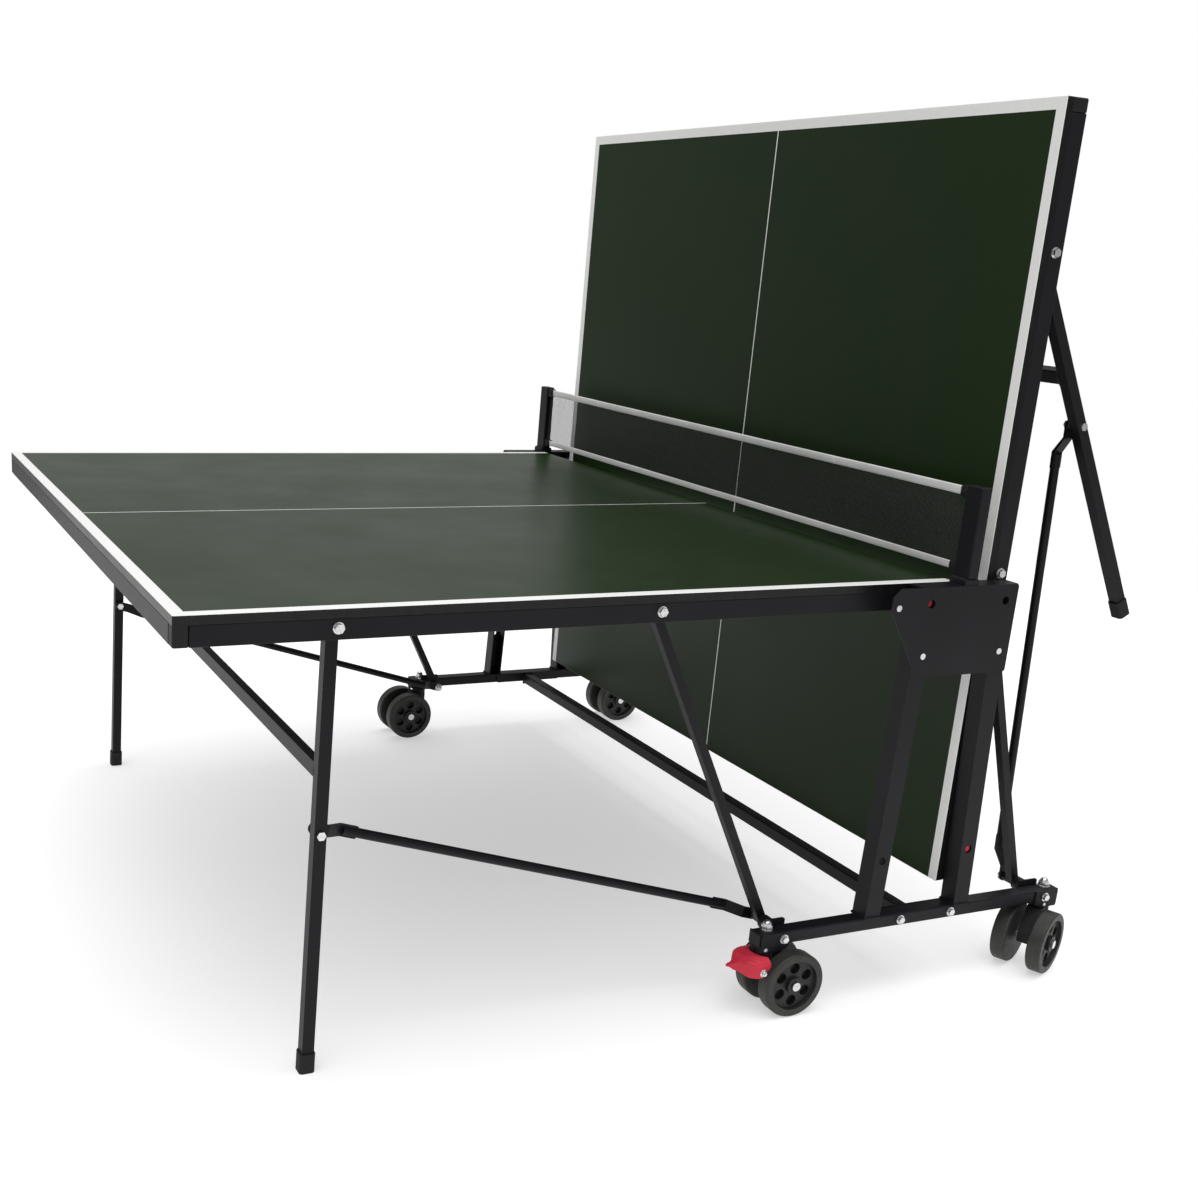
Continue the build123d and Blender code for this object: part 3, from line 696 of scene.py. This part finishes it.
def toe_point(u):
    """The front outline from one wing, round the toe, to the other as u goes from -1 to 1."""
    place = (1 - abs(u)) * (len(TOE_OUTLINE) - 1)
    k = min(int(place), len(TOE_OUTLINE) - 2)
    t = place - k
    x = TOE_OUTLINE[k][0] * (1 - t) + TOE_OUTLINE[k + 1][0] * t
    y = TOE_OUTLINE[k][1] * (1 - t) + TOE_OUTLINE[k + 1][1] * t
    return x, math.copysign(y, u)


def heel_point(u):
    """The back outline, which curves round the kingpin's boss."""
    y = HOOD_HALF * u
    if abs(y) < KINGPIN_CLEAR - 0.001:
        return -math.sqrt(KINGPIN_CLEAR ** 2 - y * y), y
    return -0.0080, y


def brake_pedal(caster):
    """A ribbed hood with a pointed toe, drawn round the kingpin and carried to the caster."""
    spin = joint(f"{caster}_brake_press")
    pivot, axis = Vector(spin["pos_m"]), Vector(spin["axis"])
    up = Vector((0, 0, 1))
    back = up.cross(axis)
    across = up.cross(back)
    kingpin = pivot + back * PEDAL_BEHIND - up * pivot.z

    def world(x, y, z):
        return kingpin + back * x + across * y + up * z

    bm = bmesh.new()
    sheet = []
    for i in range(HOOD_ROWS + 1):
        v = i / HOOD_ROWS
        line = []
        for j in range(HOOD_COLUMNS + 1):
            u = -1 + 2 * j / HOOD_COLUMNS
            (x0, y0), (x1, y1) = heel_point(u), toe_point(u)
            x, y = x0 + (x1 - x0) * v, y0 + (y1 - y0) * v
            edge = max(abs(u), v)
            droop = 0.0100 * abs(u) ** 4 + 0.0016 * v ** 8
            rib = 0.0
            if RIDGE_ZONE[0] < v < RIDGE_ZONE[1]:
                along = (v - RIDGE_ZONE[0]) / (RIDGE_ZONE[1] - RIDGE_ZONE[0])
                rib = RIDGE_HEIGHT * max(0.0, math.sin(along * math.pi * RIDGES)) ** 2
            z = hood_crown(x) - droop + rib * (1 - edge ** 10)
            line.append(bm.verts.new(world(x, y, z)))
        sheet.append(line)
    for r0, r1 in zip(sheet, sheet[1:]):
        for k in range(HOOD_COLUMNS):
            bm.faces.new((r0[k], r0[k + 1], r1[k + 1], r1[k]))
    edge_line = [row[0] for row in sheet] + sheet[-1][1:-1] + [row[-1] for row in sheet[::-1]]
    previous = edge_line
    for share, flare in ((0.12, 0.0006), (0.5, 0.0008), (0.86, 0.0010), (1.0, 0.0018)):
        current = []
        for vert in edge_line:
            local = vert.co - kingpin
            x, y, z = local.dot(back), local.dot(across), local.z
            rim = hood_rim(x)
            wheel = WHEEL_CENTRE[1] + math.sqrt(max(0.0, WHEEL_CLEAR ** 2 - (x - WHEEL_CENTRE[0]) ** 2))
            rim = max(rim, wheel) if x > -0.0215 else rim
            radial = Vector((x + 0.02, y, 0)).normalized()
            new = (x + radial.x * flare, y + radial.y * flare, z + (min(rim, z - 0.001) - z) * share)
            current.append(bm.verts.new(world(*new)))
        for k in range(len(current) - 1):
            bm.faces.new((previous[k], previous[k + 1], current[k + 1], current[k]))
        previous = current
    shell = finish_piece(bm, f"{caster}_pedal_hood", RED, f"{caster}_brake")
    thick = shell.modifiers.new("wall", "SOLIDIFY")
    thick.thickness, thick.offset = HOOD_WALL, -1.0
    fine = shell.modifiers.new("fine", "SUBSURF")
    fine.levels = fine.render_levels = 1
    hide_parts(f"{caster}_pedal")

    bm = bmesh.new()
    for sign in (-1, 1):
        outward = across * sign
        lathe(bm, pivot + outward * 0.0146, outward, [(0, 0.0062), (0.0165, 0.0062)], 20)
    finish_piece(bm, f"{caster}_pedal_collars", RED, f"{caster}_brake")
    bm = bmesh.new()
    lathe(bm, pivot - across * 0.0355, across, [(0, 0.0038), (0.071, 0.0038)], 16)
    for sign in (-1, 1):
        hex_bolt(bm, pivot + across * (sign * 0.0358), across * sign, 0.0095, 0.0048)
    finish_piece(bm, f"{caster}_pedal_bolt", ZINC, f"{caster}_brake")


for name in CASTERS:
    if f"{name}_pedal" in nodes:
        brake_pedal(name)


# ------------------------------------------------------------------ stage, light and camera
FLOOR_REACH = 4.6
FLOOR_GLOW = 0.50
WORLD_LIGHT = 0.42
WORLD_SEEN = 1.0


def floor():
    """A round pale floor that glows a little, so that the shadows on it stay light."""
    bm = bmesh.new()
    middle = Vector(((cad_low[0] + cad_high[0]) / 2, (cad_low[1] + cad_high[1]) / 2, -0.0005))
    rings = [ring(bm, middle, Vector((1, 0, 0)), Vector((0, 1, 0)), FLOOR_REACH * k / 4, 64)
             for k in range(1, 5)]
    for r0, r1 in zip(rings, rings[1:]):
        bridge(bm, r0, r1)
    bm.faces.new(rings[0])
    bmesh.ops.recalc_face_normals(bm, faces=bm.faces)
    m = Mat("studio_floor", rough=0.9, spec=0.1)
    m.link(m.mix(m.noise(1.3, 2), (0.60, 0.60, 0.60), (0.62, 0.62, 0.62)), "Base Color")
    m.set("Emission Color", (1.0, 1.0, 1.0, 1.0))
    m.set("Emission Strength", FLOOR_GLOW)
    new_object("studio_floor", bm, m.mat)


def sun(name, come_from, strength, spread):
    """A wide sun, whose spread in degrees softens its shadows."""
    data = bpy.data.lights.new(name, "SUN")
    data.energy, data.angle = strength, math.radians(spread)
    obj = bpy.data.objects.new(name, data)
    scene.collection.objects.link(obj)
    obj.rotation_mode = "QUATERNION"
    obj.rotation_quaternion = Vector(come_from).to_track_quat("Z", "Y")


floor()
sun("soft_key", (-0.55, -0.45, 1.5), 1.45, 55)
sun("soft_top", (0.35, 0.25, 1.6), 1.25, 70)


def studio_world():
    """A white surround that lights the object less than it shows."""
    world = bpy.data.worlds.new("studio")
    world.use_nodes = True
    tree = world.node_tree
    background = tree.nodes["Background"]
    background.inputs["Color"].default_value = (1.0, 1.0, 1.0, 1.0)
    path = tree.nodes.new("ShaderNodeLightPath")
    strength = tree.nodes.new("ShaderNodeMapRange")
    strength.inputs["To Min"].default_value = WORLD_LIGHT
    strength.inputs["To Max"].default_value = WORLD_SEEN
    tree.links.new(path.outputs["Is Camera Ray"], strength.inputs["Value"])
    tree.links.new(strength.outputs["Result"], background.inputs["Strength"])
    scene.world = world


studio_world()
scene.view_settings.view_transform = "Standard"

FRAME = 1198
SENSOR = 36.0
FOCAL = 1454.9 / FRAME * SENSOR
MIDDLE = (440.0, 680.0)
EYE = Vector((-1.8298, -2.6480, 1.2552))
YAW, PITCH, ROLL = 0.4294, 0.2870, 0.0614


def photo_camera():
    data = bpy.data.cameras.new("photo_view")
    data.sensor_width, data.lens = SENSOR, FOCAL
    data.shift_x, data.shift_y = (FRAME / 2 - MIDDLE[0]) / FRAME, (MIDDLE[1] - FRAME / 2) / FRAME
    data.clip_end = 60.0
    obj = bpy.data.objects.new("photo_view", data)
    scene.collection.objects.link(obj)
    ahead = Vector((math.sin(YAW) * math.cos(PITCH), math.cos(YAW) * math.cos(PITCH), -math.sin(PITCH)))
    level = Vector((math.cos(YAW), -math.sin(YAW), 0.0))
    above = level.cross(ahead)
    right = math.cos(ROLL) * level + math.sin(ROLL) * above
    up = -math.sin(ROLL) * level + math.cos(ROLL) * above
    turn = Matrix((right, up, -ahead)).transposed()
    obj.matrix_world = Matrix.Translation(NET + EYE) @ turn.to_4x4()
    scene.camera = obj


photo_camera()
